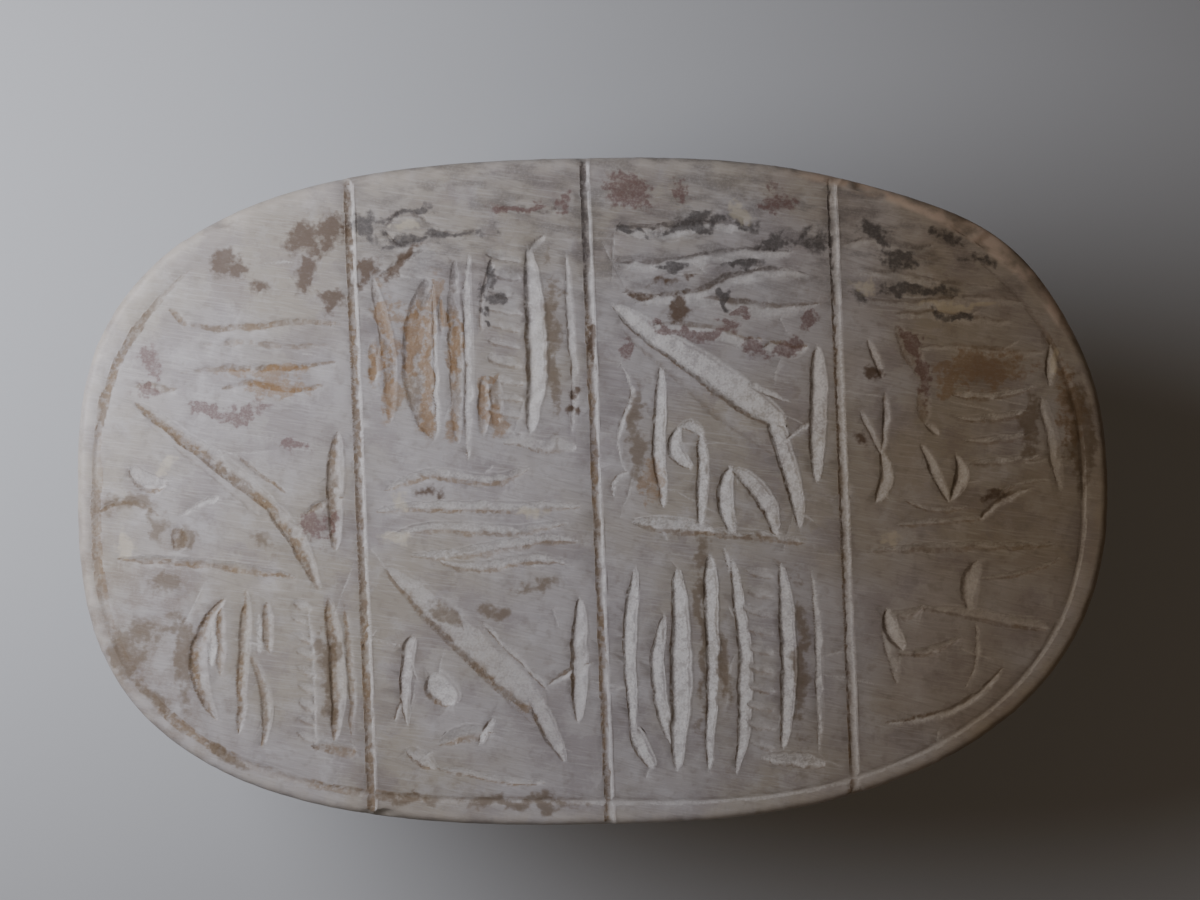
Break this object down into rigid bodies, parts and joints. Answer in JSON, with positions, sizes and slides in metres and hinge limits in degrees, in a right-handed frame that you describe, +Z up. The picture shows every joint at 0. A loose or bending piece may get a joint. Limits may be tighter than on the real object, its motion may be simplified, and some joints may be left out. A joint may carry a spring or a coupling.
{
  "type": "scarab amulet",
  "caption": "Scarab amulet of one piece of soft stone: an oval plate with shallow engraved columns on its flat face and a domed beetle in relief on its back, shown lying on the beetle.",
  "frame": {"origin": "on the surface it lies on, below the middle of the oval plate", "axes": "+X along the oval towards the beetle's head, +Y across it towards the top of the engraved columns, +Z up, out of the engraved face"},
  "size_m": [0.105, 0.068, 0.042],
  "materials": {
    "soapstone": "satin"
  },
  "bodies": {
    "root": {"scarab": "soapstone"}
  },
  "joints": []
}
